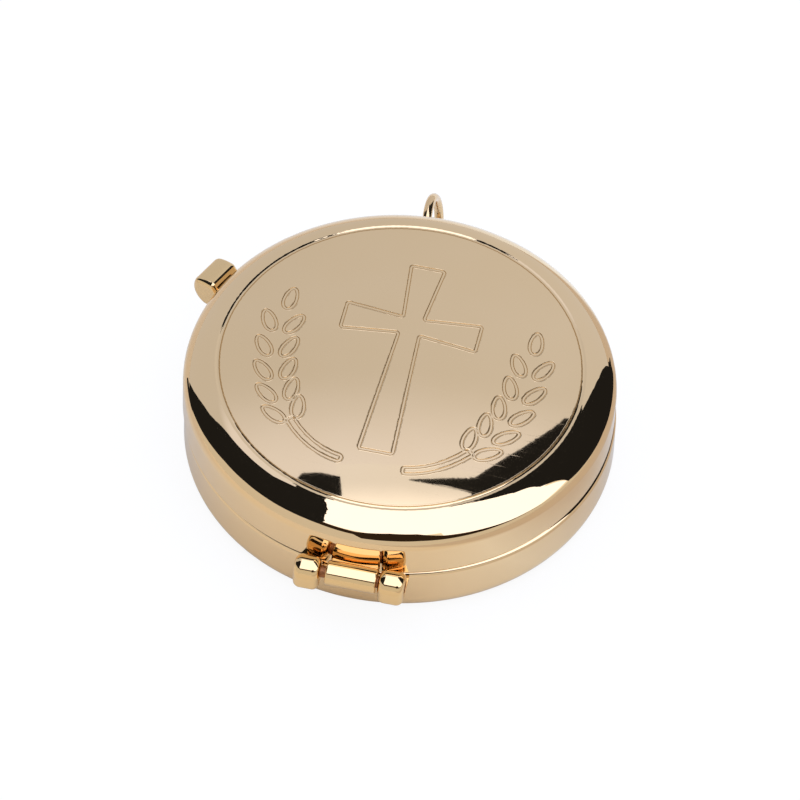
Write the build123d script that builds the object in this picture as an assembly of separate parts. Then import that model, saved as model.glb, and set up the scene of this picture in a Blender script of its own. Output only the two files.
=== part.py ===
"""A pocket pyx: a round hinged box of thin gold-plated brass, with a thumb lift and a hanging ring.

Millimetres. The origin is the centre of the flat underside, +Z is up, and the hinge is on the -Y side.
Azimuths are counted from +X towards +Y.
"""

from build123d import *
from math import asin, cos, radians, sin
import os

# Box
body_diameter = 54.0
sheet = 0.8                    # thickness of the pressed brass
seam_height = 7.3              # top of the base wall
base_corner_radius = 2.4       # outer rounding of the underside's edge
seam_gap = 0.1                 # the fine line between lid and base
base_rim_round = 0.7           # rounding of the base wall's upper edge
lid_rim_round = 0.35           # rounding of the lid wall's lower edge
solder_gap = 0.02              # film of solder between pieces that are fixed together

# Lid, from its straight wall up to the middle of the dome
lid_wall_height = 4.3
shoulder_radius = 2.2          # tight round at the top of the wall
crown_radius = 5.2             # wider round that runs into the dome
shoulder_angle = 51.0          # slope where the tight round meets the wider one
dome_angle = 3.5               # slope of the dome at its edge
border_width = 0.42            # engraved ring at the dome's edge
border_depth = 0.09
lid_side_shift = -0.18         # the lid lies this far along its pin, so it overhangs the base on one side

# Collar inside the base wall, which the lid closes over
collar_wall = 0.6
collar_depth = 2.6             # how far it reaches down into the base
collar_height = 2.0            # how far it stands above the base wall
collar_clearance = 0.32        # to the inside of the lid wall, when the lid is centred

# Hinge
hinge_rise = 0.65              # from the top of the base wall to the middle of the pin
outer_knuckle_diameter = 3.5
outer_knuckle_length = 3.3
outer_knuckle_foot = 2.3       # how far the base's knuckles reach down below the middle of the pin
middle_knuckle_diameter = 3.15
middle_knuckle_length = 6.3
middle_knuckle_shift = 0.25    # the lid's knuckle stands this far from the middle of the hinge
knuckle_gap = 0.48             # at each end of the lid's knuckle, if it stood in the middle
outer_knuckle_round = 0.9      # rounding of the base's knuckles, at both ends and under the foot
middle_knuckle_round = 0.2     # rounding of both ends of the lid's knuckle
hinge_clearance = 0.12         # from the middle knuckle to the wall of the base
saddle_height = 0.8            # solder saddle from the lid's knuckle to the lid's wall
saddle_inset = 0.3             # how much shorter the saddle is at each end of its knuckle
saddle_clearance = 0.15        # from a saddle or foot to the edge of the wall that it is soldered to
pin_diameter = 1.5
pin_clearance = 0.04           # running fit in the lid's knuckle
pin_seat_clearance = 0.01      # close fit in the base's knuckles
pin_recess = 0.08              # the pin's ends lie just inside the knuckles' ends
pin_end_round = 0.2

# Thumb lift
lift_azimuth = 155.5
lift_width = 5.0
lift_foot = 2.1                # how far it stands out at its lower end
lift_reach = 3.9               # how far it stands out at its widest
lift_top_reach = 3.45          # how far its top edge stands out
lift_notch = 0.85              # from the wall to the inner edge of its top
lift_above_seam = 0.3
lift_height = 4.3
lift_widest_share = 0.5        # height of its widest point, as a share of its own height
lift_top_drop = 0.45           # fall of its top face, outwards
lift_top_bulge = 0.2           # how far the middle of its top face stands above a straight one
lift_notch_depth = 1.1
lift_crest_round = 1.2         # rounding of its outer top corner, seen from the side
lift_round = 0.4               # rounding of its other corners, seen from the side
lift_corner_round = 0.7        # rounding of its outer corners, seen from above
lift_edge_round = 0.25         # rounding along the rest of its two ends

# Hanging ring and its eye
eye_azimuth = 95.5
eye_wire = 1.0
eye_reach = 2.95               # from the wall to the middle of the eye's bar
eye_half_width = 1.75          # from the middle of the eye to the middle of a leg
eye_bend = 0.9                 # bend at the eye's two corners
ring_inner_diameter = 6.2
ring_wire = 1.2
ring_clearance = 0.05          # between the ring and the eye's bar
ring_droop = 12.0              # the ring lies outwards and a little down from its eye
ring_lean = -9.0               # it leans sideways as it stands
ring_turn = -3.8               # and is turned a little from the radius
ring_above_table = 0.15

# Values that follow
body_radius = body_diameter / 2
inner_radius = body_radius - sheet
lid_bottom = seam_height + seam_gap
shoulder_height = seam_height + lid_wall_height
soldered_radius = body_radius + solder_gap

outer_knuckle_radius = outer_knuckle_diameter / 2
middle_knuckle_radius = middle_knuckle_diameter / 2
hinge_y = -(body_radius + hinge_clearance + middle_knuckle_radius)
hinge_height = seam_height + hinge_rise
hinge_length = middle_knuckle_length + 2 * (knuckle_gap + outer_knuckle_length)
outer_knuckle_x = (hinge_length - outer_knuckle_length) / 2

lift_bottom = lid_bottom + lift_above_seam
lift_top = lift_bottom + lift_height

eye_radius = body_radius + eye_reach
ring_inner_radius = ring_inner_diameter / 2
ring_mean_radius = ring_inner_radius + ring_wire / 2
ring_offset = ring_inner_radius - eye_wire / 2 - ring_clearance
ring_stand = ring_mean_radius * cos(radians(ring_lean)) + ring_wire / 2
eye_height = ring_above_table + ring_stand + ring_offset * sin(radians(ring_droop)) * cos(radians(ring_lean))

# Room for cutting tools to pass right through a piece
beyond = body_diameter


def lid_line(inset, border=0):
    """Points of the lid's profile, inset by a thickness, from the top of the wall to the apex.

    The shoulder, the crown and the dome are arcs that run into each other. Each is given by its two ends
    and a point between them. The crown and the dome stop half the border's width short of the dome's edge.
    """
    turn = radians(shoulder_angle)
    finish = radians(dome_angle)
    shoulder_x = body_radius - shoulder_radius
    crown_x = shoulder_x + (shoulder_radius - crown_radius) * sin(turn)
    crown_z = shoulder_height + (shoulder_radius - crown_radius) * cos(turn)
    edge_x = crown_x + crown_radius * sin(finish)
    edge_z = crown_z + crown_radius * cos(finish)
    dome_radius = edge_x / sin(finish)
    dome_z = edge_z - dome_radius * cos(finish)
    crown_end = asin((edge_x + border / 2 - crown_x) / crown_radius)
    dome_end = asin((edge_x - border / 2) / dome_radius)

    def on_shoulder(angle):
        radius = shoulder_radius - inset
        return (shoulder_x + radius * sin(angle), shoulder_height + radius * cos(angle))

    def on_crown(angle):
        radius = crown_radius - inset
        return (crown_x + radius * sin(angle), crown_z + radius * cos(angle))

    def on_dome(angle):
        radius = dome_radius - inset
        return (radius * sin(angle), dome_z + radius * cos(angle))

    upright = radians(90)
    return {
        "wall": on_shoulder(upright),
        "shoulder": on_shoulder((upright + turn) / 2),
        "turn": on_shoulder(turn),
        "crown": on_crown((turn + crown_end) / 2),
        "crown_end": on_crown(crown_end),
        "edge": (edge_x, edge_z),
        "dome_end": on_dome(dome_end),
        "dome": on_dome(dome_end / 2),
        "apex": on_dome(0),
    }


def base_dish():
    """Pressed dish: flat underside, rounded corner, straight wall with a rounded rim."""
    inner_corner = base_corner_radius - sheet
    diagonal = sin(radians(45))
    corner_x = body_radius - base_corner_radius
    rim_x = body_radius - base_rim_round
    rim_z = seam_height - base_rim_round
    with BuildPart() as dish:
        with BuildSketch(Plane.XZ):
            with BuildLine():
                Line((0, 0), (corner_x, 0))
                ThreePointArc(
                    (corner_x, 0),
                    (corner_x + base_corner_radius * diagonal, base_corner_radius * (1 - diagonal)),
                    (body_radius, base_corner_radius),
                )
                Line((body_radius, base_corner_radius), (body_radius, rim_z))
                ThreePointArc(
                    (body_radius, rim_z),
                    (rim_x + base_rim_round * diagonal, rim_z + base_rim_round * diagonal),
                    (rim_x, seam_height),
                )
                Line((rim_x, seam_height), (inner_radius, seam_height))
                Line((inner_radius, seam_height), (inner_radius, base_corner_radius))
                ThreePointArc(
                    (inner_radius, base_corner_radius),
                    (corner_x + inner_corner * diagonal, base_corner_radius - inner_corner * diagonal),
                    (corner_x, sheet),
                )
                Line((corner_x, sheet), (0, sheet))
                Line((0, sheet), (0, 0))
            make_face()
        revolve(axis=Axis.Z)
    return dish.part


def base_collar():
    """Thin ring soldered inside the base wall; its upper half clears the inside of the lid."""
    seat = inner_radius - solder_gap
    guide = inner_radius - collar_clearance
    bore = guide - collar_wall
    bottom = seam_height - collar_depth
    top = seam_height + collar_height
    lead_in = collar_wall / 2
    with BuildPart() as collar:
        with BuildSketch(Plane.XZ):
            with BuildLine():
                Polyline(
                    (bore, bottom),
                    (seat, bottom),
                    (seat, seam_height),
                    (guide, seam_height),
                    (guide, top - lead_in),
                )
                ThreePointArc((guide, top - lead_in), (guide - lead_in, top), (bore, top - lead_in))
                Line((bore, top - lead_in), (bore, bottom))
            make_face()
        revolve(axis=Axis.Z)
    return collar.part


def lid_shell():
    """Pressed lid: rounded lower rim, straight wall, shoulder, crown and dome, with the border ring cut in."""
    outer = lid_line(0, border_width)
    inner = lid_line(sheet)
    edge_x, edge_z = outer["edge"]
    diagonal = sin(radians(45))
    rim_x = body_radius - lid_rim_round
    rim_z = lid_bottom + lid_rim_round
    with BuildPart() as lid:
        with BuildSketch(Plane.XZ):
            with BuildLine():
                Line((inner_radius, lid_bottom), (rim_x, lid_bottom))
                ThreePointArc(
                    (rim_x, lid_bottom),
                    (rim_x + lid_rim_round * diagonal, rim_z - lid_rim_round * diagonal),
                    (body_radius, rim_z),
                )
                Line((body_radius, rim_z), outer["wall"])
                ThreePointArc(outer["wall"], outer["shoulder"], outer["turn"])
                ThreePointArc(outer["turn"], outer["crown"], outer["crown_end"])
                Polyline(outer["crown_end"], (edge_x, edge_z - border_depth), outer["dome_end"])
                ThreePointArc(outer["dome_end"], outer["dome"], outer["apex"])
                Line(outer["apex"], inner["apex"])
                ThreePointArc(inner["apex"], inner["dome"], inner["dome_end"])
                ThreePointArc(inner["crown_end"], inner["crown"], inner["turn"])
                ThreePointArc(inner["turn"], inner["shoulder"], inner["wall"])
                Line(inner["wall"], (inner_radius, lid_bottom))
            make_face()
        revolve(axis=Axis.Z)
    return Pos(lid_side_shift, 0, 0) * lid.part


def wall_cutter(shift=0):
    """The space inside the outer wall, with the film of solder, that soldered pieces are trimmed to."""
    return Pos(shift, 0, 0) * Cylinder(soldered_radius, 2 * beyond)


def round_bar(length, radius, end_round):
    """A round bar along +X with rounded ends."""
    bar = Rot(0, 90, 0) * Cylinder(radius, length)
    return fillet(bar.edges().filter_by(GeomType.CIRCLE), end_round)


def bore(radius):
    """The space for the pin, right through a knuckle."""
    return Rot(0, 90, 0) * Cylinder(radius, beyond)


def outer_knuckle(side):
    """A knuckle of the base, at the left (side -1) or the right (side 1) end of the hinge.

    Its front runs straight down from the level of the pin to a foot that is soldered to the base wall. The
    room behind the pin is left free for the wall of the lid.
    """
    seat_level = seam_height - saddle_clearance - hinge_height
    foot_depth = outer_knuckle_radius - hinge_y
    foot = Pos(0, foot_depth / 2 - outer_knuckle_radius, -outer_knuckle_foot / 2) * Box(
        outer_knuckle_length, foot_depth, outer_knuckle_foot
    )
    lower_edges = foot.edges().filter_by(lambda edge: edge.center().Z < -outer_knuckle_foot / 4)
    outside_edges = lower_edges.filter_by(lambda edge: edge.center().Y < foot_depth / 2)
    foot = fillet(outside_edges, outer_knuckle_round)
    lid_room = Pos(0, beyond / 2, seat_level + beyond / 2) * Box(beyond, beyond, beyond)
    barrel = round_bar(outer_knuckle_length, outer_knuckle_radius, outer_knuckle_round)
    solid = barrel + (foot - lid_room) - bore(pin_diameter / 2 + pin_seat_clearance)
    return Pos(side * outer_knuckle_x, hinge_y, hinge_height) * solid - wall_cutter()


def lid_hinge_knuckle():
    """The middle knuckle, which turns with the lid, and the solder saddle that joins it to the lid's wall."""
    saddle_level = lid_bottom + saddle_clearance + saddle_height / 2 - hinge_height
    saddle = Pos(0, -hinge_y / 2, saddle_level) * Box(
        middle_knuckle_length - 2 * saddle_inset, -hinge_y, saddle_height
    )
    barrel = round_bar(middle_knuckle_length, middle_knuckle_radius, middle_knuckle_round)
    solid = barrel + saddle - bore(pin_diameter / 2 + pin_clearance)
    return Pos(middle_knuckle_shift, hinge_y, hinge_height) * solid - wall_cutter(lid_side_shift)


def hinge_pin():
    """Wire through the three knuckles, with rounded ends."""
    return Pos(0, hinge_y, hinge_height) * round_bar(hinge_length - 2 * pin_recess, pin_diameter / 2, pin_end_round)


def thumb_lift():
    """Solid lug on the lid wall: a sloping underside for the thumb, a crowned top and a notch behind it."""
    inside_x = body_radius - sheet
    notch_slope = lift_notch_depth / lift_notch
    inside_z = lift_top - notch_slope * (lift_notch + sheet)
    foot = (body_radius + lift_foot, lift_bottom)
    widest = (body_radius + lift_reach, lift_bottom + lift_widest_share * lift_height)
    top_outer = (body_radius + lift_top_reach, lift_top - lift_top_drop)
    top_inner = (body_radius + lift_notch, lift_top)
    top_middle = ((top_outer[0] + top_inner[0]) / 2, (top_outer[1] + top_inner[1]) / 2 + lift_top_bulge)
    with BuildPart() as lift:
        with BuildSketch(Plane.XZ) as section:
            with BuildLine():
                Line((inside_x, lift_bottom), foot)
                ThreePointArc(foot, widest, top_outer)
                ThreePointArc(top_outer, top_middle, top_inner)
                Polyline(top_inner, (inside_x, inside_z), (inside_x, lift_bottom))
            make_face()
            fillet(section.vertices().group_by(Axis.X)[-1], lift_crest_round)
            fillet(section.vertices().group_by(Axis.X)[1:3], lift_round)
        extrude(amount=lift_width / 2, both=True)
        outer_part = (top_middle[0] + widest[0]) / 2
        ends = lift.faces().filter_by(Plane.XZ)
        fillet(ends.edges().filter_by(lambda edge: edge.center().X > outer_part), lift_corner_round)
        ends = lift.faces().filter_by(Plane.XZ)
        fillet(ends.edges(), lift_edge_round)
    return Pos(lid_side_shift, 0, 0) * Rot(0, 0, lift_azimuth) * (lift.part - wall_cutter())


def ring_eye():
    """Wire staple on the base wall: two legs out from the wall and a bar between them."""
    inside = body_radius / 2
    with BuildPart() as eye:
        with BuildLine() as path:
            FilletPolyline(
                (inside, -eye_half_width, eye_height),
                (eye_radius, -eye_half_width, eye_height),
                (eye_radius, eye_half_width, eye_height),
                (inside, eye_half_width, eye_height),
                radius=eye_bend,
            )
        with BuildSketch(Plane(path.line @ 0, z_dir=path.line % 0)):
            Circle(eye_wire / 2)
        sweep()
    return Rot(0, 0, eye_azimuth) * (eye.part - wall_cutter())


def hanging_ring():
    """Jump ring round the eye's bar, standing just clear of the table and leaning a little."""
    at_eye = Rot(0, 0, eye_azimuth) * Pos(eye_radius, 0, eye_height)
    stance = Rot(0, 0, ring_turn) * Rot(ring_lean, 0, 0) * Rot(0, ring_droop, 0)
    return at_eye * stance * Pos(ring_offset, 0, 0) * Rot(90, 0, 0) * Torus(ring_mean_radius, ring_wire / 2)


pieces = {
    "base_dish": base_dish(),
    "base_collar": base_collar(),
    "hinge_knuckle_left": outer_knuckle(-1),
    "hinge_knuckle_right": outer_knuckle(1),
    "hinge_pin": hinge_pin(),
    "ring_eye": ring_eye(),
    "lid_shell": lid_shell(),
    "lid_hinge_knuckle": lid_hinge_knuckle(),
    "thumb_lift": thumb_lift(),
    "hanging_ring": hanging_ring(),
}

os.makedirs("parts", exist_ok=True)
for name, shape in pieces.items():
    export_step(shape, f"parts/{name}.step")

bar_x = eye_radius * cos(radians(eye_azimuth))
bar_y = eye_radius * sin(radians(eye_azimuth))
print(f"lid joint: point (0, {hinge_y:.3f}, {hinge_height:.3f}), axis +X")
print(f"ring joint: point ({bar_x:.3f}, {bar_y:.3f}, {eye_height:.3f}), azimuth {eye_azimuth}")
print(f"lid apex at {lid_line(0)['apex'][1]:.3f}, border ring radius {lid_line(0)['edge'][0]:.3f}")
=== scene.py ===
# A pocket pyx of mirror-polished gold plate on a white tabletop, inside a soft light tent.
# Metres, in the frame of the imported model: +Z is up and the hinge is on the -Y side.

from math import acos, asin, ceil, cos, hypot, pi, radians, sin

import bpy
from mathutils import Matrix, Vector, noise
from mathutils.geometry import delaunay_2d_cdt


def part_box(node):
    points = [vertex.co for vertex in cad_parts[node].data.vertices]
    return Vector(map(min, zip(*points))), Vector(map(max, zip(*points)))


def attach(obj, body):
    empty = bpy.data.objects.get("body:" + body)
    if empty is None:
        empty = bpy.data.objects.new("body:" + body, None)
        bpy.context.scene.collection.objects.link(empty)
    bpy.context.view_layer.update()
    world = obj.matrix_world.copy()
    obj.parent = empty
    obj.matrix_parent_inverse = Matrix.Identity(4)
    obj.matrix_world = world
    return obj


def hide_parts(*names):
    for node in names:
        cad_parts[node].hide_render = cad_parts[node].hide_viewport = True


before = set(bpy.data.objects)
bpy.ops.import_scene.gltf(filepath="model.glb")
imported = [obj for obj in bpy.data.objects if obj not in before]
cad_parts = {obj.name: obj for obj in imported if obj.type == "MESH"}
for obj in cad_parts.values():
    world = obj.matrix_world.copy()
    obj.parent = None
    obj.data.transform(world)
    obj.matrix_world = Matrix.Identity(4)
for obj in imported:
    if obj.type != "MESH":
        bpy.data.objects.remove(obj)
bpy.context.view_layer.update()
mm = 0.001

# Sizes of the box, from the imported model
base_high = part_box("base_dish")[1]
lid_low, lid_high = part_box("lid_shell")
body_radius = base_high.x
lid_middle = (lid_low.x + lid_high.x) / 2    # the lid lies a little to one side on its pin
seam_height = base_high.z
lid_bottom = lid_low.z
apex_height = lid_high.z

# Sizes of the pressed sheet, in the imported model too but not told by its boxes
sheet = 0.8 * mm
base_rim_round = 0.7 * mm
lid_rim_round = 0.35 * mm
inner_edge_round = 0.06 * mm
base_corner_radius = 2.4 * mm
lid_wall_height = 4.3 * mm
shoulder_radius = 2.2 * mm
crown_radius = 5.2 * mm
shoulder_angle = radians(51)
dome_angle = radians(3.5)
collar_clearance = 0.32 * mm           # from the collar to the inside of the lid wall
collar_wall = 0.6 * mm

# The lid's outer line: shoulder, crown and dome are arcs that run into each other
shoulder_x = body_radius - shoulder_radius
shoulder_z = seam_height + lid_wall_height
crown_x = shoulder_x + (shoulder_radius - crown_radius) * sin(shoulder_angle)
crown_z = shoulder_z + (shoulder_radius - crown_radius) * cos(shoulder_angle)
dome_edge = crown_x + crown_radius * sin(dome_angle)
dome_radius = dome_edge / sin(dome_angle)
dome_z = apex_height - dome_radius

# Engraving
plate_radius = dome_edge + 0.6 * mm    # the engraved plate reaches a little past the border ring
groove_half_width = 0.24 * mm
groove_depth = 0.04 * mm
groove_burr = 0.008 * mm               # metal thrown up along both edges of a cut
border_half_width = 0.36 * mm
border_depth = 0.08 * mm
border_burr = 0.002 * mm
floor_share = 0.5                      # of half a groove's width, to the edge of its flat floor
border_floor_share = 0.0               # the border is a plain hollow
border_dull_share = 0.5                # from here to its inner edge the border is dull
groove_waver = 1.1                     # how much a line's depth wavers along it
border_waver = 0.3
flank_step = 0.25                      # from point to point down a groove's flank, in the same share
burr_share = 0.4                       # width of a burr, as a share of half the groove's
burr_steps = (1, 0.75, 0.375)          # points across a burr, from its outer edge
stroke_step = 0.16 * mm                # from point to point along an engraved line
corner_round = 0.32 * mm
waver_length = 0.9 * mm                # the graver's slow swings and quick chatter along a line
chatter_length = 0.4 * mm
chatter_width = 0.12                   # as shares of the line's own width and depth
chatter_depth = 0.4
chatter_seed = 40

# Finish of the plate
drift_size = 14 * mm                   # patches of deeper and paler plate
ripple_size = 6 * mm                   # slow waves in the pressed brass
ripple_height = 0.004 * mm
hairline_height = 0.00003 * mm
hairline_turn = 2.5 * mm               # of pattern for each radian, which draws it out into hairlines
hairline_stretch = 0.06                # the pattern's scale along a hairline on the hinge
scratch_width = 0.22 * mm
scratch_stretch = 0.02                 # the pattern's scale along a scratch
scratch_angle = radians(32)
scratch_dullness = 0.05                # added to the roughness
dark_patch_size = 0.6 * mm                  # on the wire inside the joint
drawn_grain = 0.1 * mm
drawn_height = 0.01 * mm

turn_segments = 480                    # facets round the box
on_axis = 1e-6 * mm                    # a ring smaller than this is one point
merge_distance = 1e-7                  # in mm: points of the engraving closer than this are one
arc_step = radians(3)
small_round = 0.33 * mm                # arcs up to this radius are drawn in coarser steps
small_arc_step = radians(10)


def linear(hex_colour):
    """An sRGB hex colour as linear red, green, blue and alpha."""
    channels = [int(hex_colour[i:i + 2], 16) / 255 for i in (1, 3, 5)]
    return tuple(c / 12.92 if c <= 0.04045 else ((c + 0.055) / 1.055) ** 2.4 for c in channels) + (1.0,)


def add(tree, kind, inputs=None, **settings):
    """Adds a node with its own settings; its inputs are values, or the outputs that are linked to them."""
    node = tree.nodes.new(kind)
    for name, value in settings.items():
        setattr(node, name, value)
    for name, value in (inputs or {}).items():
        if isinstance(value, bpy.types.NodeSocket):
            tree.links.new(value, node.inputs[name])
        else:
            node.inputs[name].default_value = value
    return node


def new_material(name):
    """An empty material and its node tree."""
    material = bpy.data.materials.new(name)
    material.use_nodes = True
    material.node_tree.nodes.clear()
    return material, material.node_tree


# Materials

def round_the_box(tree, place):
    """Coordinates that unroll the box about its axis, so that a pattern runs round it."""
    axes = add(tree, "ShaderNodeSeparateXYZ", {"Vector": place}).outputs
    square_x = add(tree, "ShaderNodeMath", {0: axes["X"], 1: axes["X"]}, operation="MULTIPLY").outputs[0]
    square = add(
        tree, "ShaderNodeMath", {0: axes["Y"], 1: axes["Y"], 2: square_x}, operation="MULTIPLY_ADD"
    ).outputs[0]
    radius = add(tree, "ShaderNodeMath", {0: square, 1: 0.5}, operation="POWER").outputs[0]
    angle = add(tree, "ShaderNodeMath", {0: axes["Y"], 1: axes["X"]}, operation="ARCTAN2").outputs[0]
    around = add(tree, "ShaderNodeMath", {0: angle, 1: hairline_turn}, operation="MULTIPLY").outputs[0]
    return add(tree, "ShaderNodeCombineXYZ", {"X": radius, "Y": around, "Z": axes["Z"]}).outputs[0]


def round_the_pin(tree, place):
    """Coordinates drawn out across the hinge, so that a pattern runs round its barrels."""
    across = (1.0, hairline_stretch, hairline_stretch)
    return add(tree, "ShaderNodeVectorMath", {0: place, 1: across}, operation="MULTIPLY").outputs[0]


def gold_plate(name, pale, deep, roughness, hairline, unrolled):
    """Gold electroplate over brass, buffed on a wheel to a mirror.

    The eye sees a pale warm mirror. The plate's colour drifts a little, the brass under it has slow ripples
    that bend a reflection, the buffing wheel leaves hairlines and the wiping cloth a few stray scratches.
    Real hairlines are a few hundredths of a millimetre wide; they are drawn wider here so that they show.
    """
    material, tree = new_material(name)
    place = add(tree, "ShaderNodeTexCoord").outputs["Object"]
    drift = add(tree, "ShaderNodeTexNoise", {"Vector": place, "Scale": 1 / drift_size, "Detail": 2.0})
    colour = add(
        tree, "ShaderNodeMix",
        {"Factor": drift.outputs["Fac"], "A": linear(pale), "B": linear(deep)},
        data_type="RGBA",
    )
    lines = add(
        tree, "ShaderNodeTexNoise",
        {"Vector": unrolled(tree, place), "Scale": 1 / hairline, "Detail": 3.0},
    )
    haze = add(
        tree, "ShaderNodeMapRange",
        {"Value": lines.outputs["Fac"], "From Min": 0.3, "From Max": 0.75,
         "To Min": roughness * 0.8, "To Max": roughness * 1.4},
    )
    wiped = add(
        tree, "ShaderNodeMapping",
        {"Vector": place, "Rotation": (0.0, 0.0, scratch_angle), "Scale": (scratch_stretch, 1.0, 1.0)},
    )
    scratch = add(
        tree, "ShaderNodeTexNoise", {"Vector": wiped.outputs[0], "Scale": 1 / scratch_width, "Detail": 0.0}
    )
    dull = add(
        tree, "ShaderNodeMapRange",
        {"Value": scratch.outputs["Fac"], "From Min": 0.7, "From Max": 0.84, "To Max": scratch_dullness},
    )
    rough = add(tree, "ShaderNodeMath", {0: haze.outputs[0], 1: dull.outputs[0]}, operation="ADD")
    ripple = add(tree, "ShaderNodeTexNoise", {"Vector": place, "Scale": 1 / ripple_size, "Detail": 1.0})
    slow = add(
        tree, "ShaderNodeBump",
        {"Height": ripple.outputs["Fac"], "Strength": 1.0, "Distance": ripple_height},
    )
    fine = add(tree, "ShaderNodeBump", {
        "Height": lines.outputs["Fac"],
        "Strength": 1.0,
        "Distance": hairline_height,
        "Normal": slow.outputs[0],
    })
    shader = add(tree, "ShaderNodeBsdfPrincipled", {
        "Base Color": colour.outputs["Result"],
        "Metallic": 1.0,
        "Roughness": rough.outputs[0],
        "Normal": fine.outputs[0],
    })
    add(tree, "ShaderNodeOutputMaterial", {"Surface": shader.outputs[0]})
    return material


def dull_brass(name, light_brown, dark_brown, roughness):
    """Drawn brass wire inside the joint, where no wheel reaches: dark brown, darker in patches."""
    material, tree = new_material(name)
    place = add(tree, "ShaderNodeTexCoord").outputs["Object"]
    dark_patch = add(tree, "ShaderNodeTexNoise", {"Vector": place, "Scale": 1 / dark_patch_size, "Detail": 3.0})
    colour = add(
        tree, "ShaderNodeMix",
        {"Factor": dark_patch.outputs["Fac"], "A": linear(light_brown), "B": linear(dark_brown)},
        data_type="RGBA",
    )
    drawn = add(tree, "ShaderNodeTexNoise", {"Vector": place, "Scale": 1 / drawn_grain, "Detail": 2.0})
    rough = add(
        tree, "ShaderNodeMapRange",
        {"Value": drawn.outputs["Fac"], "To Min": roughness * 0.8, "To Max": roughness * 1.3},
    )
    grain = add(
        tree, "ShaderNodeBump",
        {"Height": drawn.outputs["Fac"], "Strength": 1.0, "Distance": drawn_height},
    )
    shader = add(tree, "ShaderNodeBsdfPrincipled", {
        "Base Color": colour.outputs["Result"],
        "Metallic": 1.0,
        "Roughness": rough.outputs[0],
        "Normal": grain.outputs[0],
    })
    add(tree, "ShaderNodeOutputMaterial", {"Surface": shader.outputs[0]})
    return material


# The lid, the base and its collar: a clear mirror
pressed_gold = gold_plate(
    "gold_plate_pressed_and_buffed", "#F3D5AA", "#EFCFA0",
    roughness=0.015, hairline=0.16 * mm, unrolled=round_the_box,
)
# The flanks of the engraved lines: browner, and dull where the wheel doesn't reach
cut_gold = gold_plate(
    "gold_plate_in_the_cut", "#C9A06A", "#B48A56",
    roughness=0.3, hairline=0.1 * mm, unrolled=round_the_box,
)
# The hinge and the lug: a softer mirror
fitting_gold = gold_plate(
    "gold_plate_turned_and_buffed", "#F2D2A0", "#EBC78F",
    roughness=0.05, hairline=0.12 * mm, unrolled=round_the_pin,
)
# The ring and its eye: satin from the drawplate
wire_gold = gold_plate(
    "gold_plate_drawn_wire", "#EFCFA2", "#E6C08C",
    roughness=0.12, hairline=0.1 * mm, unrolled=round_the_pin,
)
pin_brass = dull_brass("brass_wire_in_the_joint", "#B07850", "#7A4C30", roughness=0.45)


# Between these two places along X the light on the graded papers grows from left to right
lamp_left = -0.95
lamp_right = -0.1


def stage_paper(name, hex_colour, strength):
    """Matt studio paper with its light level given, seen in the metal and not by the camera."""
    material, tree = new_material(name)
    glow = add(tree, "ShaderNodeEmission", {"Color": linear(hex_colour), "Strength": strength})
    add(tree, "ShaderNodeOutputMaterial", {"Surface": glow.outputs[0]})
    return material


def graded_paper(name, low_colour, high_colour, low_height, high_height, left_strength, right_strength):
    """Studio paper with painted light that grows upwards, lit more at its right-hand side than at its left.
    """
    material, tree = new_material(name)
    place = add(tree, "ShaderNodeTexCoord").outputs["Object"]
    axes = add(tree, "ShaderNodeSeparateXYZ", {"Vector": place}).outputs
    # Painted light: the paper turns lighter and bluer from low_height up to high_height
    share = add(
        tree, "ShaderNodeMapRange",
        {"Value": axes["Z"], "From Min": low_height, "From Max": high_height},
        interpolation_type="SMOOTHSTEP",
    )
    colour = add(
        tree, "ShaderNodeMix",
        {"Factor": share.outputs[0], "A": linear(low_colour), "B": linear(high_colour)},
        data_type="RGBA",
    )
    strength = add(
        tree, "ShaderNodeMapRange",
        {"Value": axes["X"], "From Min": lamp_left, "From Max": lamp_right,
         "To Min": left_strength, "To Max": right_strength},
    )
    glow = add(
        tree, "ShaderNodeEmission", {"Color": colour.outputs["Result"], "Strength": strength.outputs[0]}
    )
    add(tree, "ShaderNodeOutputMaterial", {"Surface": glow.outputs[0]})
    return material


# Meshes

class Surface:
    """Collects the points, normals and faces of one piece."""

    def __init__(self):
        self.points = []
        self.normals = []
        self.faces = []
        self.cuts = []                 # faces inside engraved lines

    def point(self, place, normal):
        self.points.append(place)
        self.normals.append(normal)
        return len(self.points) - 1

    def ring(self, r, z, out, up):
        """Points round the axis at one radius and height, with a normal that leans out and up."""
        if r < on_axis:
            return [self.point((0, 0, z), (0, 0, up))]
        turns = [2 * pi * i / turn_segments for i in range(turn_segments)]
        return [self.point((r * cos(t), r * sin(t), z), (out * cos(t), out * sin(t), up)) for t in turns]

    def band(self, lower, upper):
        """Faces between two rings; either may be a single point on the axis."""
        count = max(len(lower), len(upper))
        for i in range(count):
            j = (i + 1) % count
            corners = [lower[k % len(lower)] for k in (i, j)] + [upper[k % len(upper)] for k in (j, i)]
            self.faces.append(list(dict.fromkeys(corners)))

    def lathe(self, profile):
        """Turns a profile about Z and returns its rings."""
        rings = [self.ring(*station) for station in profile]
        for lower, upper in zip(rings, rings[1:]):
            self.band(lower, upper)
        return rings

    def piece(self, name, body, material, slot, *nodes):
        """Makes the finished object, riding on a body and standing for its nodes."""
        mesh = bpy.data.meshes.new(name)
        mesh.from_pydata(self.points, [], self.faces)
        mesh.polygons.foreach_set("use_smooth", [True] * len(mesh.polygons))
        mesh.normals_split_custom_set_from_vertices(self.normals)
        mesh.materials.append(material)
        if self.cuts:
            mesh.materials.append(cut_gold)
        for face in self.cuts:
            mesh.polygons[face].material_index = 1
        made = bpy.data.objects.new(name, mesh)
        bpy.context.scene.collection.objects.link(made)
        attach(made, body)
        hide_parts(*nodes)


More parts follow.
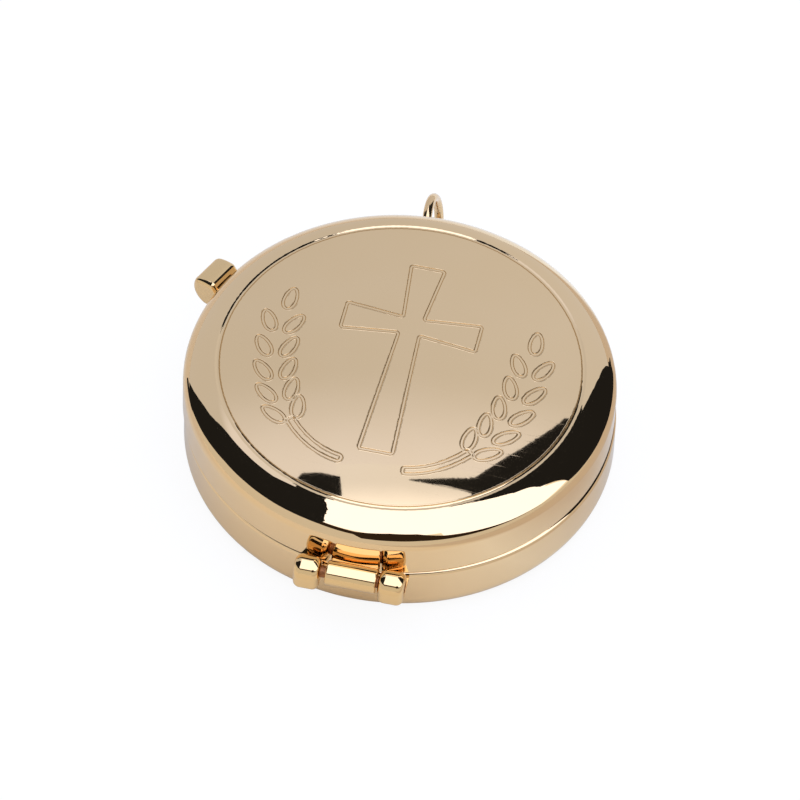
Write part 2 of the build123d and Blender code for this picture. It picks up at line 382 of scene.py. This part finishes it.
def arc(centre_x, centre_z, radius, start, end, facing=1):
    """Profile stations on an arc; angles count from straight up towards outwards."""
    step = arc_step if radius > small_round else small_arc_step
    steps = max(2, ceil(abs(end - start) / step))
    angles = [start + (end - start) * i / steps for i in range(steps + 1)]
    return [
        (centre_x + radius * sin(a), centre_z + radius * cos(a), facing * sin(a), facing * cos(a))
        for a in angles
    ]


def make_base():
    """The pressed base dish, from the middle of its underside round to the middle of its floor."""
    upright = pi / 2
    corner_x = body_radius - base_corner_radius
    inner_radius = body_radius - sheet
    rim_x = body_radius - base_rim_round
    profile = [(0, 0, 0, -1)]
    profile += arc(corner_x, base_corner_radius, base_corner_radius, pi, upright)
    profile += arc(rim_x, seam_height - base_rim_round, base_rim_round, upright, 0)
    edge_x = inner_radius + inner_edge_round
    profile += arc(edge_x, seam_height - inner_edge_round, inner_edge_round, 0, -upright)
    profile += arc(corner_x, base_corner_radius, base_corner_radius - sheet, upright, pi, -1)
    profile += [(0, sheet, 0, 1)]
    dish = Surface()
    dish.lathe(profile)
    dish.piece("base_dish_polished", "base", pressed_gold, "gold_plate", "base_dish")


def make_collar():
    """The turned collar soldered inside the base wall, stepped in at the seam and rounded at its top."""
    collar_low, collar_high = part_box("base_collar")
    upright = pi / 2
    edge = inner_edge_round
    seat = collar_high.x
    guide = body_radius - sheet - collar_clearance
    bore = guide - collar_wall
    lead_in = collar_wall / 2
    profile = arc(bore + edge, collar_low.z + edge, edge, -upright, -pi)
    profile += arc(seat - edge, collar_low.z + edge, edge, pi, upright)
    profile += arc(seat - edge, seam_height - edge, edge, upright, 0)
    profile += arc(guide + edge, seam_height + edge, edge, pi, pi + upright, -1)
    profile += arc(guide - lead_in, collar_high.z - lead_in, lead_in, upright, -upright)
    collar = Surface()
    rings = collar.lathe(profile)
    collar.band(rings[-1], rings[0])
    collar.piece("base_collar_polished", "base", pressed_gold, "gold_plate", "base_collar")


def lid_top(r):
    """Height, outward lean and upward lean of the lid's outer surface, inside the shoulder."""
    if r < dome_edge:
        lean = asin(r / dome_radius)
        return dome_z + dome_radius * cos(lean), sin(lean), cos(lean)
    lean = asin((r - crown_x) / crown_radius)
    return crown_z + crown_radius * cos(lean), sin(lean), cos(lean)


def round_corners(corners, radius):
    """A closed line through the corners, each rounded by an arc, with points one step apart."""
    line = []
    count = len(corners)
    for i in range(count):
        before, here, after = (Vector(corners[(i + k) % count]) for k in (-1, 0, 1))
        back = (before - here).normalized()
        on = (after - here).normalized()
        half = acos(max(-1.0, min(1.0, back.dot(on)))) / 2
        start = here + back * (radius / (sin(half) / cos(half)))
        end = here + on * (radius / (sin(half) / cos(half)))
        centre = here + (back + on).normalized() * (radius / sin(half))
        if line:
            line += straight(line[-1], start)
        steps = max(2, ceil((pi - 2 * half) * radius / stroke_step))
        for k in range(steps + 1):
            chord = start.lerp(end, k / steps)
            line.append(centre + (chord - centre).normalized() * radius)
    return line + straight(line[-1], line[0])


def straight(start, end):
    """Points between two others, about one step apart and without the two themselves."""
    steps = max(1, round((end - start).length / stroke_step))
    return [start.lerp(end, k / steps) for k in range(1, steps)]


def ellipse(middle, along, length, width, taper):
    """A closed grain outline, pointed a little towards its tip."""
    across = Vector((-along.y, along.x))
    steps = ceil(pi * (length + width) / 2 / stroke_step)
    line = []
    for k in range(steps):
        t = 2 * pi * k / steps
        swell = 1 - taper * cos(t)
        line.append(middle + along * (cos(t) * length / 2) + across * (sin(t) * swell * width / 2))
    return line


# The engraved design: a plain cross with flared arms between two ears of wheat
cross_middle = Vector((0, 6.0)) * mm
cross_top = 10.0 * mm
cross_side = 8.6 * mm
cross_foot = 20.5 * mm
cross_waist = 1.3 * mm                 # half the width of an arm where the arms meet
cross_flare = 2.15 * mm                # half the width of an arm at its end
ear_start = Vector((3.9, -16.6)) * mm
ear_bend = Vector((11.0, -15.6)) * mm
ear_rise = Vector((16.6, -6.5)) * mm
ear_tip = Vector((15.8, 5.4)) * mm
stem_share = 0.4                       # of the ear's line
stem_width = 1.0 * mm
stem_steps = 6
grain_pairs = 5
grain_start = 0.45                     # of the room for a pair, to the middle of its grains
grain_length = 3.5 * mm
grain_width = 1.55 * mm
grain_taper = 0.15
grain_lean = radians(27)
grain_offset = 1.6 * mm                # from the ear's line to the middle of a grain


def cross_outline():
    """The cross as one closed line."""
    reaches = [cross_top, cross_side, cross_foot, cross_side]
    corners = []
    for quarter, reach in enumerate(reaches):
        turn = Matrix.Rotation(-quarter * pi / 2, 2)
        corners.append(cross_middle + turn @ Vector((-cross_waist, cross_waist)))
        corners.append(cross_middle + turn @ Vector((-cross_flare, reach)))
        corners.append(cross_middle + turn @ Vector((cross_flare, reach)))
    return round_corners(corners, corner_round)


def on_ear(share):
    """Point and direction on the ear's line, a Bezier curve."""
    rest = 1 - share
    point = (
        ear_start * rest ** 3 + ear_bend * (3 * rest ** 2 * share)
        + ear_rise * (3 * rest * share ** 2) + ear_tip * share ** 3
    )
    run = (
        (ear_bend - ear_start) * rest ** 2 + (ear_rise - ear_bend) * (2 * rest * share)
        + (ear_tip - ear_rise) * share ** 2
    )
    return point, run.normalized()


def ear_outlines():
    """Closed lines of one ear: its stem, its pairs of grains and the grain at its tip."""
    lines = []
    sides = {1: [], -1: []}
    for k in range(stem_steps + 1):
        point, along = on_ear(stem_share * k / stem_steps)
        across = Vector((-along.y, along.x)) * stem_width / 2
        for side in sides:
            sides[side].append(point + across * side)
    lines.append(round_corners(sides[-1] + sides[1][::-1], corner_round))
    for pair in range(grain_pairs):
        share = stem_share + (1 - stem_share) * (pair + grain_start) / grain_pairs
        point, along = on_ear(share)
        across = Vector((-along.y, along.x))
        for side in (1, -1):
            lean = Matrix.Rotation(-side * grain_lean, 2) @ along
            middle = point - across * (side * grain_offset)
            lines.append(ellipse(middle, -lean, grain_length, grain_width, -grain_taper))
    point, along = on_ear(1)
    lines.append(ellipse(point + along * (grain_length / 2), along, grain_length, grain_width, grain_taper))
    return lines


def mirrored(line):
    """The same closed line on the other side of the lid."""
    return [Vector((-p.x, p.y)) for p in reversed(line)]


def border_circle():
    """The ring engraved round the dome."""
    steps = ceil(2 * pi * dome_edge / stroke_step)
    turns = [2 * pi * k / steps for k in range(steps)]
    return [Vector((dome_edge * cos(t), dome_edge * sin(t))) for t in turns]


def cut_at(share, half_width, depth, burr, floor):
    """Drop and slope in an engraved line's section: a flat floor, two flanks and a burr along each edge."""
    out = abs(share)
    side = 1 if share > 0 else -1
    if out > 1:
        turn = pi * (out - 1) / burr_share
        return -burr * sin(turn) ** 2, side * burr * sin(2 * turn) * pi / (burr_share * half_width)
    flank = 1 - floor
    turn = pi * (out - floor) / flank
    return depth * (1 + cos(turn)) / 2, side * depth * sin(turn) * pi / (2 * flank * half_width)


def groove(line, half_width, depth, burr, floor, unevenness, seed):
    """Closed lines along a groove, with each point's drop and lean.

    The graver doesn't run quite evenly: its depth and width waver along the line.
    """
    outwards = [1 + burr_share * step for step in burr_steps]
    outwards += [1 - flank_step * k for k in range(round((1 - floor) / flank_step) + 1)]
    lines = {share: [] for share in sorted({side * out for out in outwards for side in (-1, 1)})}
    count = len(line)
    for i, here in enumerate(line):
        along = (line[(i + 1) % count] - line[i - 1]).normalized()
        across = Vector((-along.y, along.x))
        waver = noise.noise(Vector((here.x / waver_length, here.y / waver_length, seed)))
        chatter = noise.noise(Vector((
            here.x / chatter_length, here.y / chatter_length, seed + chatter_seed
        )))
        width_here = half_width * (1 + chatter_width * chatter)
        depth_here = depth * (1 + unevenness * waver + chatter_depth * chatter)
        burr_here = burr * (1 - unevenness * waver + chatter_depth * chatter)
        for share, made in lines.items():
            drop, lean = cut_at(share, width_here, depth_here, burr_here, floor)
            made.append((here + across * (share * width_here), drop, across * lean))
    return lines


def engraved_plate(lid, edge_ring):
    """The dome inside the edge ring, with the border and the design cut into it.

    The flanks of the design's lines are dull from the graver. The border is dull along its inner edge only.
    """
    flat, edges, drops, flanks = [], [], [], []

    def closed(points, flank):
        first = len(flat)
        for place, drop, lean in points:
            flat.append(place)
            drops.append((drop, lean))
            flanks.append(flank)
        count = len(points)
        edges.extend((first + k, first + (k + 1) % count) for k in range(count))

    level = Vector((0, 0))
    closed([(Vector(lid.points[i][:2]), 0.0, level) for i in edge_ring], 0)
    ear = ear_outlines()
    design = [cross_outline()] + ear + [mirrored(line) for line in ear]
    graver = (groove_half_width, groove_depth, groove_burr, floor_share, groove_waver)
    strokes = [(line, *graver) for line in design]
    ring_tool = (border_half_width, border_depth, border_burr, border_floor_share, border_waver)
    strokes.append((border_circle(), *ring_tool))
    for seed, stroke in enumerate(strokes):
        for share, points in groove(*stroke, seed).items():
            dull = abs(share) <= 1 and (seed < len(design) or share >= border_dull_share)
            closed(points, (1 if share > 0 else -1) if dull else 0)

    made = delaunay_2d_cdt([p / mm for p in flat], edges, [], 0, merge_distance)
    places, faces, came_from = made[0], made[2], made[3]
    index = []
    for place, sources in zip(places, came_from):
        if sources and sources[0] < len(edge_ring):
            index.append(edge_ring[sources[0]])
            continue
        x, y = place * mm
        r = hypot(x, y)
        drop, lean = drops[sources[0]] if sources else (0.0, level)
        z, out, up = lid_top(r)
        normal = Vector((out * x / r - lean.x, out * y / r - lean.y, up)).normalized()
        index.append(lid.point((x, y, min(z - drop, apex_height)), normal))
    for face in faces:
        sides = {flanks[came_from[k][0]] if came_from[k] else 0 for k in face}
        if sides in ({1}, {-1}):
            lid.cuts.append(len(lid.faces))
        lid.faces.append([index[k] for k in face])


def make_lid():
    """The pressed lid: wall, shoulder and crown turned, the engraved plate, and the plain inside."""
    upright = pi / 2
    inner_radius = body_radius - sheet
    plate_lean = asin((plate_radius - crown_x) / crown_radius)
    rim_x = body_radius - lid_rim_round
    edge_x = inner_radius + inner_edge_round
    lid = Surface()
    first_ring = radians(0.5)
    inside = [(0, apex_height - sheet, 0, -1)]
    inside += arc(0, dome_z, dome_radius - sheet, first_ring, dome_angle, -1)
    inside += arc(crown_x, crown_z, crown_radius - sheet, dome_angle, shoulder_angle, -1)[1:]
    inside += arc(shoulder_x, shoulder_z, shoulder_radius - sheet, shoulder_angle, upright, -1)[1:]
    inside += arc(edge_x, lid_bottom + inner_edge_round, inner_edge_round, -upright, -pi)
    outside = arc(rim_x, lid_bottom + lid_rim_round, lid_rim_round, pi, upright)
    outside += arc(shoulder_x, shoulder_z, shoulder_radius, upright, shoulder_angle)
    outside += arc(crown_x, crown_z, crown_radius, shoulder_angle, plate_lean)[1:]
    rings = lid.lathe(inside + outside)
    engraved_plate(lid, rings[-1])
    lid.points = [(x + lid_middle, y, z) for x, y, z in lid.points]
    lid.piece("lid_engraved", "lid", pressed_gold, "gold_plate", "lid_shell")


make_base()
make_collar()
make_lid()

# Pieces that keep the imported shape
for node_names, finish in (
    (("hinge_knuckle_left", "hinge_knuckle_right", "lid_hinge_knuckle", "thumb_lift"), fitting_gold),
    (("ring_eye", "hanging_ring"), wire_gold),
    (("hinge_pin",), pin_brass),
):
    for node_name in node_names:
        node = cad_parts[node_name]
        node.data.materials.clear()
        node.data.materials.append(finish)

# Light tent: curved cards round the object, given by azimuth from +Y towards +X and by elevation
tent_middle = Vector((0, 0, 12 * mm))
card_step = radians(3)
card_rows = 12
horizon = -3                           # degrees: a standing card reaches a little under the tabletop
foot_height = 0.2 * mm                 # a card's foot lies this far above the tabletop
flag_reach = 4.0                       # from the middle of the tent to its cards
crest_reach = 4.35
board_reach = 4.4
tent_reach = 4.8


def card(name, stations, reach, material, lights_floor=False):
    """A curved card. Each station is an azimuth with its lower and upper elevation, in degrees."""
    columns = []
    for (turn_a, low_a, high_a), (turn_b, low_b, high_b) in zip(stations, stations[1:]):
        steps = max(1, ceil(radians(abs(turn_b - turn_a)) / card_step))
        for k in range(steps + (stations[-1][0] == turn_b)):
            share = k / steps
            turn = radians(turn_a + (turn_b - turn_a) * share)
            low = low_a + (low_b - low_a) * share
            high = high_a + (high_b - high_a) * share
            lifts = [radians(low + (high - low) * row / card_rows) for row in range(card_rows + 1)]
            columns.append([
                tent_middle + Vector((sin(turn) * cos(lift), cos(turn) * cos(lift), sin(lift))) * reach
                for lift in lifts
            ])
    sheet_of(name, columns, material, lights_floor)


def foot(name, stations, material):
    """The part of a card that lies on the tabletop. A station is an azimuth and a near distance in mm."""
    columns = []
    for turn, near in stations:
        outwards = Vector((sin(radians(turn)), cos(radians(turn)), 0))
        columns.append([
            outwards * reach + Vector((0, 0, foot_height)) for reach in (near * mm, flag_reach)
        ])
    sheet_of(name, columns, material)


def sheet_of(name, columns, material, lights_floor=False):
    """The stage sheet through columns of points, seen in the metal only."""
    size = len(columns[0])
    faces = [
        (c * size + r, (c + 1) * size + r, (c + 1) * size + r + 1, c * size + r + 1)
        for c in range(len(columns) - 1) for r in range(size - 1)
    ]
    mesh = bpy.data.meshes.new(name)
    mesh.from_pydata([point for column in columns for point in column], [], faces)
    mesh.materials.append(material)
    made = bpy.data.objects.new(name, mesh)
    bpy.context.scene.collection.objects.link(made)
    made.visible_camera = False
    made.visible_shadow = False
    made.visible_diffuse = lights_floor


def standing(*stations):
    """Stations of a card that stands on the tabletop, from its azimuths and upper elevations."""
    return [(turn, horizon, high) for turn, high in stations]


def on_board(elevation):
    """Height on the back board, for an elevation in degrees."""
    return board_reach * sin(radians(elevation))


soft_light = stage_paper("tent_silk_lit", "#DDE6FF", strength=2.25)
back_paper = graded_paper(
    "cool_white_paper", "#C1C6D3", "#DCE4FD",
    low_height=on_board(50.5), high_height=on_board(57), left_strength=1.2, right_strength=1.29,
)
crest_paper = graded_paper(
    "bright_paper_edge", "#AFB6C8", "#E0E8FF",
    low_height=on_board(56), high_height=on_board(58.8), left_strength=2.05, right_strength=2.15,
)
apron_paper = stage_paper("white_paper", "#FFFFFF", strength=0.7)
black_paper = stage_paper("black_paper", "#E4ECFF", strength=0.018)
lens_black = stage_paper("brown_black_cloth", "#FFD9B8", strength=0.03)

card("tent_roof", [(0, 43, 90), (360, 43, 90)], tent_reach, soft_light, lights_floor=True)
card("tent_side", [
    (84, 16.5, 43), (100, 16, 43), (115, 21, 43), (127, 27.5, 43), (145, 35.5, 43),
], tent_reach, soft_light, lights_floor=True)
card("back_board", standing(
    (-77, 66), (-57, 67), (-40, 68), (-31, 66), (-22, 61), (-16, 57),
    (-14, 56.6), (-6, 56.6), (-3, 58), (5, 62), (18, 66), (36, 66),
), board_reach, back_paper)
card("board_crest", [(-14.9, 55.9, 59.2), (-4.5, 55.9, 59.2)], crest_reach, crest_paper)
card("front_apron", standing(
    (60, 0), (72, 4.5), (78, 8), (85, 12.7), (103, 15.2), (122, 19), (143, 24.6), (160, 28), (176, 28),
    (188.6, 34.2), (209.5, 35), (228, 31), (245, 26.6), (257.5, 22.8), (270, 19.2), (279, 11), (284.2, 0.8),
), board_reach, apron_paper)
card("left_flag", [
    (-153.4, 35, 47), (-147, 34.5, 57.5), (-140, 33, 65.5), (-132, 31, 69.8), (-122, 28.5, 73.5),
    (-115, 26.6, 74.9), (-102.5, 21.5, 76.3), (-95, 15, 76.7), (-88.6, 9, 76.9), (-83, 4.5, 77),
    (-78.5, 0.5, 77), (-75, horizon, 76.9), (-72.5, horizon, 76.8), (-71.8, 37.5, 76.8), (-69, 44, 76.7),
    (-61, 53, 76), (-57, 65.7, 75.6), (-50, 66.5, 74.6), (-39.5, 67, 72), (-31.4, 64.6, 69.3),
    (-22, 59.6, 65), (-19.7, 58, 63.3), (-17.4, 56.3, 60.5), (-16, 56.4, 59), (-14.7, 56.6, 57.7),
], flag_reach, black_paper)
card("right_flag", [
    (-9.6, 56.7, 56.75), (-7, 56.5, 56.95), (-5, 56.2, 57.2), (-3.7, 55.3, 61), (-2.6, 54.5, 63.5),
    (-1.3, 53.4, 64.6), (0, 52, 65.4), (5, 51, 67), (18, 50, 69), (23, 46.2, 69.3), (26, 43, 69.4),
    (29.4, 38.7, 69.5), (33.1, 28.8, 69.5), (34.4, 14.3, 69.5), (34.6, horizon, 69.5), (45, horizon, 68.5),
    (59, -2.5, 66), (72, 4.5, 57.5), (78, 8, 52.5), (81.5, 10.5, 48), (84, 12.5, 16),
], flag_reach, black_paper)
card("left_flag_tip", standing(
    (-72.5, 29.8), (-71.8, 20), (-70.7, 11.7), (-68.7, 4.4), (-66.4, -2.4),
), flag_reach, black_paper)
foot("left_flag_foot", [
    (-79, 300), (-78.1, 224), (-75.7, 145), (-74.4, 105), (-73, 113), (-70.3, 184), (-69.6, 280),
], black_paper)
foot("right_flag_foot", [
    (35, 400), (36.4, 260), (38.8, 145), (41.6, 82), (44, 84), (48, 74), (53, 110), (59, 170),
], black_paper)
card("lens_gap", [
    (100, 15, 16), (115, 17.5, 21), (127, 20.5, 27.5), (145, 25, 35.4), (157, 27.5, 46.5),
    (171.5, 27.6, 48), (184, 26.5, 43), (188.6, 33.5, 41), (206.6, 35, 43.4),
], flag_reach, lens_black)


def make_floor():
    """A pale tabletop, white to the camera but for the object's shadow; in the metal, paper with painted
    shade.
    """
    half_side = 6.0
    height = -0.02 * mm                # just under the object
    lit_share = 0.9                    # of what the camera sees; the rest takes the shadow
    corners = [(-1, -1), (1, -1), (1, 1), (-1, 1)]
    mesh = bpy.data.meshes.new("tabletop")
    mesh.from_pydata([(x * half_side, y * half_side, height) for x, y in corners], [], [(0, 1, 2, 3)])
    material, tree = new_material("white_laminate_with_painted_shade")
    place = add(tree, "ShaderNodeTexCoord").outputs["Object"]
    axes = add(tree, "ShaderNodeSeparateXYZ", {"Vector": place}).outputs
    # Painted light and shade under the walls that mirror it: the paper grows lighter here and darker there,
    # from one place to another in mm along an axis
    # The metal sees the paper painted darker than the camera's white: painted shade from the box
    paper = linear("#C8BEAF")
    for axis, start, end, light_and_shade_tint in (
        ("X", -60, 29, "#E9EFEE"),
        ("Y", -12, -40, "#D6CAB3"),
        ("X", 23, 33, "#BFB2A0"),
    ):
        share = add(
            tree, "ShaderNodeMapRange",
            {"Value": axes[axis], "From Min": start * mm, "From Max": end * mm},
        ).outputs[0]
        paper = add(
            tree, "ShaderNodeMix", {"Factor": share, "A": paper, "B": linear(light_and_shade_tint)}, data_type="RGBA"
        ).outputs["Result"]
    matt = add(tree, "ShaderNodeBsdfDiffuse", {"Color": paper})
    white = add(tree, "ShaderNodeBsdfDiffuse", {"Color": linear("#F6F6F6")})
    lit = add(tree, "ShaderNodeEmission", {"Color": linear("#FFFFFF"), "Strength": 1.0})
    shown = add(tree, "ShaderNodeMixShader", {0: lit_share, 1: white.outputs[0], 2: lit.outputs[0]})
    seen = add(tree, "ShaderNodeLightPath").outputs["Is Camera Ray"]
    top = add(tree, "ShaderNodeMixShader", {0: seen, 1: matt.outputs[0], 2: shown.outputs[0]})
    under = add(tree, "ShaderNodeNewGeometry").outputs["Backfacing"]
    clear = add(tree, "ShaderNodeBsdfTransparent")
    whole = add(tree, "ShaderNodeMixShader", {0: under, 1: top.outputs[0], 2: clear.outputs[0]})
    add(tree, "ShaderNodeOutputMaterial", {"Surface": whole.outputs[0]})
    mesh.materials.append(material)
    floor = bpy.data.objects.new("tabletop", mesh)
    bpy.context.scene.collection.objects.link(floor)


def make_world():
    """White all round for the camera and the metal, and a plain fill for the rest."""
    world = bpy.data.worlds.new("white_room")
    world.use_nodes = True
    tree = world.node_tree
    tree.nodes.clear()
    rays = add(tree, "ShaderNodeLightPath").outputs
    seen = add(
        tree, "ShaderNodeMath", {0: rays["Is Camera Ray"], 1: rays["Is Glossy Ray"]}, operation="MAXIMUM"
    ).outputs[0]
    shown = add(
        tree, "ShaderNodeMath", {0: seen, 1: rays["Is Transmission Ray"]}, operation="MAXIMUM"
    ).outputs[0]
    fill = add(tree, "ShaderNodeBackground", {"Color": linear("#FFFFFF"), "Strength": 0.6})
    white = add(tree, "ShaderNodeBackground", {"Color": linear("#FFFFFF"), "Strength": 1.0})
    both = add(tree, "ShaderNodeMixShader", {0: shown, 1: fill.outputs[0], 2: white.outputs[0]})
    add(tree, "ShaderNodeOutputWorld", {"Surface": both.outputs[0]})
    bpy.context.scene.world = world


make_floor()
make_world()

# Camera, at the photograph's viewing angle
view_azimuth = radians(10.6)
view_elevation = radians(50.55)
view_roll = radians(2.48)
view_distance = 907.85 * mm
aim_right = 0.144 * mm                 # the point at the middle of the picture, seen from the origin
aim_up = 5.265 * mm
view_lens = 325.1                      # millimetres, as the camera takes them
view_sensor = 36.0


def make_camera():
    """A long lens that looks down on the lid over the hinge."""
    out = cos(view_elevation)
    back = Vector((sin(view_azimuth) * out, -cos(view_azimuth) * out, sin(view_elevation)))
    level = Vector((cos(view_azimuth), sin(view_azimuth), 0))
    upwards = back.cross(level)
    right = level * cos(view_roll) + upwards * sin(view_roll)
    up = upwards * cos(view_roll) - level * sin(view_roll)
    eye = back * view_distance
    towards = (eye - right * aim_right - up * aim_up).normalized()
    side = up.cross(towards).normalized()
    top = towards.cross(side)
    data = bpy.data.cameras.new("camera")
    data.sensor_width = view_sensor
    data.lens = view_lens
    camera = bpy.data.objects.new("camera", data)
    camera.matrix_world = Matrix((
        (side.x, top.x, towards.x, eye.x),
        (side.y, top.y, towards.y, eye.y),
        (side.z, top.z, towards.z, eye.z),
        (0, 0, 0, 1),
    ))
    bpy.context.scene.collection.objects.link(camera)
    bpy.context.scene.camera = camera


make_camera()
bpy.context.scene.view_settings.view_transform = "Standard"
